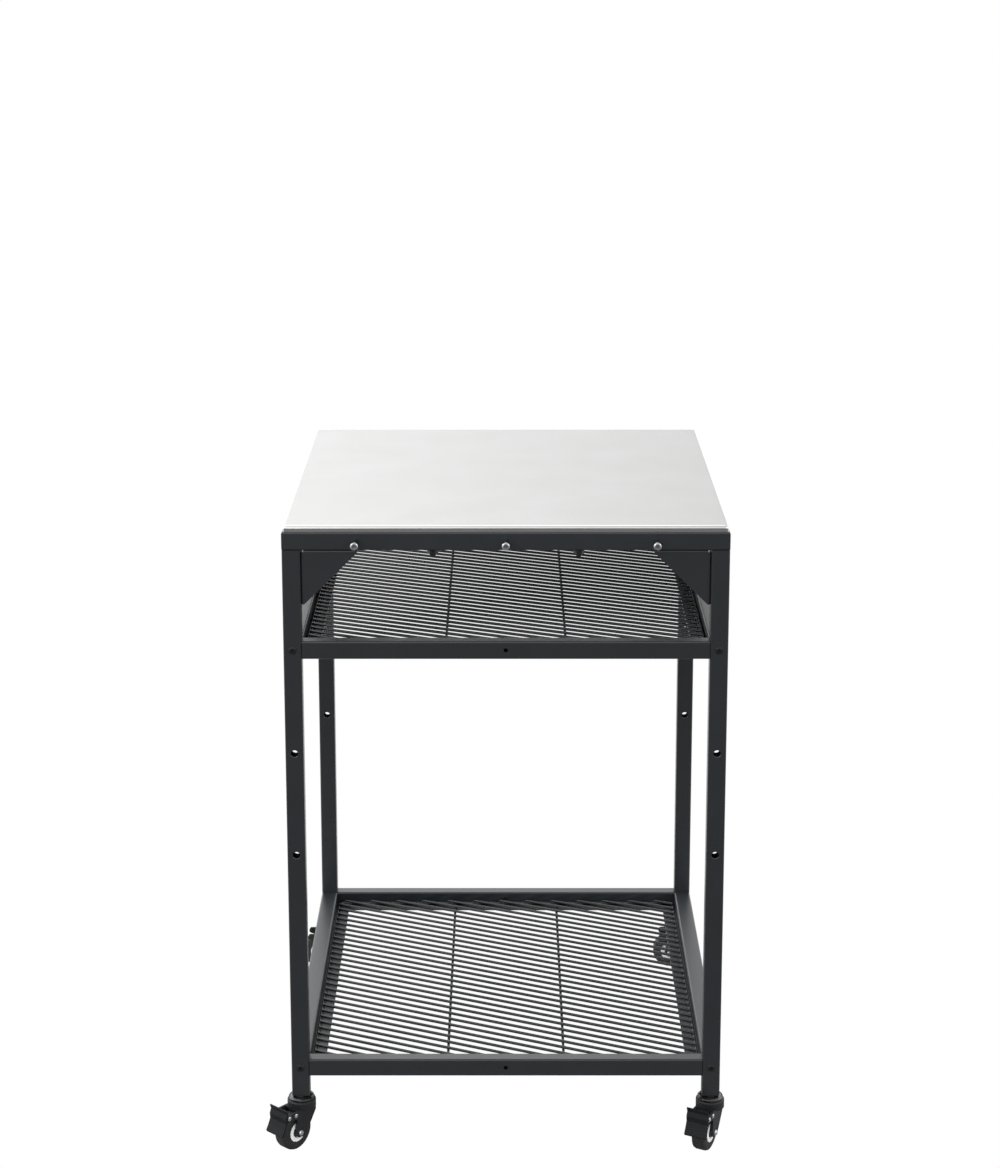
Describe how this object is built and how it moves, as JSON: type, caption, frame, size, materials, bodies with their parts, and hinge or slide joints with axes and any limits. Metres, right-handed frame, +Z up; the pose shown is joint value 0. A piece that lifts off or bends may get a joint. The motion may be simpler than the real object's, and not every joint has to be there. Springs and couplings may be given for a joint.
{
  "type": "outdoor pizza oven table",
  "caption": "Steel tube stand on swivel casters, the front pair braked, with a flat stainless top, wire grid shelves, corner gussets and utensil pegs on the front rail.",
  "frame": {"origin": "on the floor, midway between the four casters' swivel axes", "axes": "+Z up, +X to the right seen from the front, -Y out of the front, where the pegs are"},
  "size_m": [0.6428, 0.6558, 0.902],
  "materials": {
    "stainless_top": "satin to bright stainless sheet",
    "black_powder_coat": "satin black powder coat",
    "black_wire": "satin black coated wire",
    "zinc_hardware": "bright zinc plate",
    "polished_pegs": "bright stainless",
    "black_hardware": "black oxide",
    "black_zinc": "glossy black zinc",
    "black_plastic": "matt black",
    "black_nylon": "fine grained black nylon",
    "tyre_rubber": "matt black rubber",
    "hub_white": "white rim round a dark web"
  },
  "bodies": {
    "table": {"top_plate": "stainless_top", "top_rail_front": "black_powder_coat", "top_rail_rear": "black_powder_coat", "top_rail_left": "black_powder_coat", "top_rail_right": "black_powder_coat", "leg_front_left": "black_powder_coat", "leg_front_right": "black_powder_coat", "leg_rear_left": "black_powder_coat", "leg_rear_right": "black_powder_coat", "upper_rail_front": "black_powder_coat", "upper_rail_rear": "black_powder_coat", "upper_rail_left": "black_powder_coat", "upper_rail_right": "black_powder_coat", "upper_ledge": "black_powder_coat", "upper_grid": "black_wire", "lower_rail_front": "black_powder_coat", "lower_rail_rear": "black_powder_coat", "lower_rail_left": "black_powder_coat", "lower_rail_right": "black_powder_coat", "lower_ledge": "black_powder_coat", "lower_grid": "black_wire", "gusset_front_left": "black_powder_coat", "gusset_front_right": "black_powder_coat", "gusset_rear_left": "black_powder_coat", "gusset_rear_right": "black_powder_coat", "gusset_screws": "black_hardware", "shelf_bolts": "black_hardware", "rail_end_inserts": "black_plastic", "tool_hooks": "polished_pegs", "plate_studs": "black_hardware", "plate_nuts": "black_hardware", "leg_foot_inserts": "black_plastic", "caster_front_left_stem": "black_zinc", "caster_front_right_stem": "black_zinc", "caster_rear_left_stem": "black_zinc", "caster_rear_right_stem": "black_zinc"},
    "front_left_fork": {"caster_front_left_fork": "black_nylon", "caster_front_left_axle": "zinc_hardware", "caster_front_left_rivets": "zinc_hardware"},
    "front_left_wheel": {"caster_front_left_tyre": "tyre_rubber", "caster_front_left_hub": "hub_white"},
    "front_left_pedal": {"caster_front_left_pedal": "black_nylon"},
    "front_right_fork": {"caster_front_right_fork": "black_nylon", "caster_front_right_axle": "zinc_hardware", "caster_front_right_rivets": "zinc_hardware"},
    "front_right_wheel": {"caster_front_right_tyre": "tyre_rubber", "caster_front_right_hub": "hub_white"},
    "front_right_pedal": {"caster_front_right_pedal": "black_nylon"},
    "rear_left_fork": {"caster_rear_left_fork": "black_nylon", "caster_rear_left_axle": "zinc_hardware"},
    "rear_left_wheel": {"caster_rear_left_tyre": "tyre_rubber", "caster_rear_left_hub": "hub_white"},
    "rear_right_fork": {"caster_rear_right_fork": "black_nylon", "caster_rear_right_axle": "zinc_hardware"},
    "rear_right_wheel": {"caster_rear_right_tyre": "tyre_rubber", "caster_rear_right_hub": "hub_white"}
  },
  "joints": [
    {"name": "front_left_swivel", "type": "hinge", "parent": "table", "child": "front_left_fork", "pos_m": [-0.2875, -0.29, 0.06], "axis": [0, 0, 1], "continuous": true},
    {"name": "front_left_roll", "type": "hinge", "parent": "front_left_fork", "child": "front_left_wheel", "pos_m": [-0.29931, -0.30358, 0.027], "axis": [0.7547, -0.6561, 0], "continuous": true},
    {"name": "front_left_brake", "type": "hinge", "parent": "front_left_fork", "child": "front_left_pedal", "pos_m": [-0.31276, -0.31906, 0.0562], "axis": [0.7547, -0.6561, 0], "range_deg": [0, 10]},
    {"name": "front_right_swivel", "type": "hinge", "parent": "table", "child": "front_right_fork", "pos_m": [0.2875, -0.29, 0.06], "axis": [0, 0, 1], "continuous": true},
    {"name": "front_right_roll", "type": "hinge", "parent": "front_right_fork", "child": "front_right_wheel", "pos_m": [0.27933, -0.30604, 0.027], "axis": [0.891, -0.454, 0], "continuous": true},
    {"name": "front_right_brake", "type": "hinge", "parent": "front_right_fork", "child": "front_right_pedal", "pos_m": [0.27002, -0.3243, 0.0562], "axis": [0.891, -0.454, 0], "range_deg": [0, 10]},
    {"name": "rear_left_swivel", "type": "hinge", "parent": "table", "child": "rear_left_fork", "pos_m": [-0.2875, 0.29, 0.06], "axis": [0, 0, 1], "continuous": true},
    {"name": "rear_left_roll", "type": "hinge", "parent": "rear_left_fork", "child": "rear_left_wheel", "pos_m": [-0.3055, 0.29, 0.027], "axis": [0, -1, 0], "continuous": true},
    {"name": "rear_right_swivel", "type": "hinge", "parent": "table", "child": "rear_right_fork", "pos_m": [0.2875, 0.29, 0.06], "axis": [0, 0, 1], "continuous": true},
    {"name": "rear_right_roll", "type": "hinge", "parent": "rear_right_fork", "child": "rear_right_wheel", "pos_m": [0.26951, 0.29063, 0.027], "axis": [-0.0349, -0.9994, 0], "continuous": true}
  ]
}
